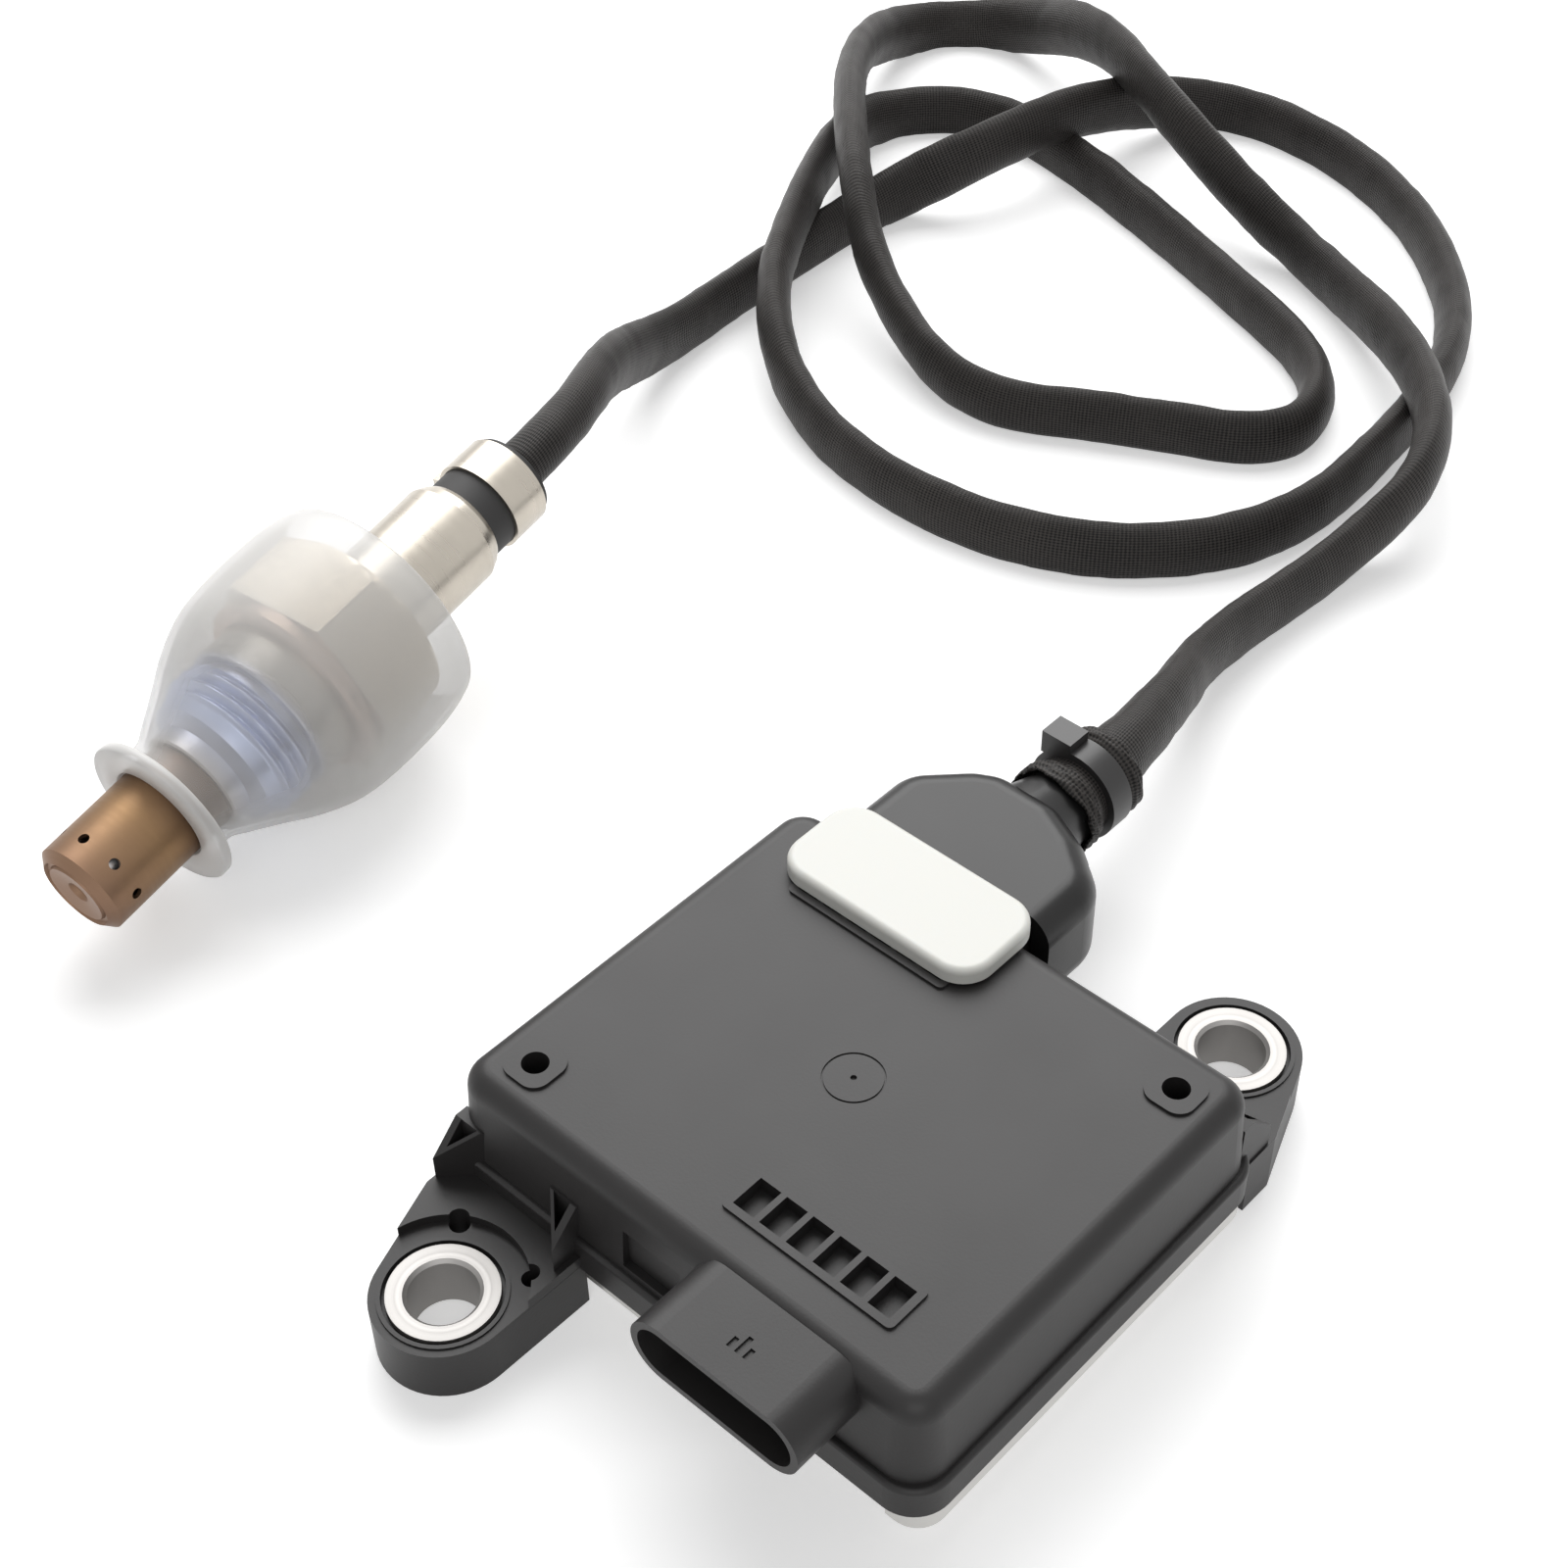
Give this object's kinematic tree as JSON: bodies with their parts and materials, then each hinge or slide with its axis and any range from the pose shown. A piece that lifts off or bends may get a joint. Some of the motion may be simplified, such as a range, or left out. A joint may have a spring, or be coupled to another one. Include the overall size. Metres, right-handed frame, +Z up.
{
  "type": "nitrogen oxide sensor",
  "caption": "Exhaust gas sensor: screw-in probe with perforated shield and soft cap, braided cable in loose loops, flat moulded control module with ears and connector.",
  "frame": {"origin": "midway between the two ears' bolt holes, on the plane of the ears' undersides", "axes": "+Z up out of the module's top, along its bolts; +X to the module's right; the connector faces -Y and the cable leaves towards +Y"},
  "size_m": [0.1726, 0.2319, 0.0297],
  "materials": {
    "housing_plastic": "satin moulded, lightly textured",
    "base_aluminium": "satin",
    "bright_aluminium": "turned, bright",
    "boot_plastic": "smooth satin",
    "white_plastic": "satin",
    "tie_plastic": "satin",
    "cable_braid": "braided",
    "bright_steel": "drawn, bright",
    "machined_steel": "turned",
    "tinted_steel": "heat tinted",
    "cap_plastic": "frosted, translucent",
    "board_laminate": "coated",
    "chip_resin": "moulded",
    "can_aluminium": "satin",
    "tinned_metal": "plated",
    "grey_rubber": "matt",
    "black_rubber": "matt",
    "lead_rubber": "smooth",
    "white_ceramic": "fired",
    "screw_steel": "zinc plated",
    "copper_ring": "bright"
  },
  "bodies": {
    "root": {"module_housing": "housing_plastic", "base_plate": "base_aluminium", "base_screws": "screw_steel", "base_gasket": "grey_rubber", "mount_sleeve_front": "bright_aluminium", "mount_sleeve_rear": "bright_aluminium", "circuit_board": "board_laminate", "processor_chip": "chip_resin", "driver_chip": "chip_resin", "thermal_pad": "grey_rubber", "crystal": "can_aluminium", "capacitors": "can_aluminium", "connector_pins": "tinned_metal", "lead_terminals": "tinned_metal", "lead_wires": "lead_rubber", "wire_seal": "black_rubber", "cable_boot": "boot_plastic", "lock_plate": "white_plastic", "sleeve_tie": "tie_plastic", "outer_shield": "tinted_steel", "inner_shield": "machined_steel", "probe_body": "machined_steel", "seal_ring": "copper_ring", "ceramic_core": "white_ceramic", "sensing_strip": "white_ceramic", "contact_holder": "white_ceramic", "upper_shell": "bright_steel", "cable_grommet": "black_rubber", "sleeve_clamp": "bright_steel", "protective_cap": "cap_plastic", "cable": "cable_braid"}
  },
  "joints": []
}
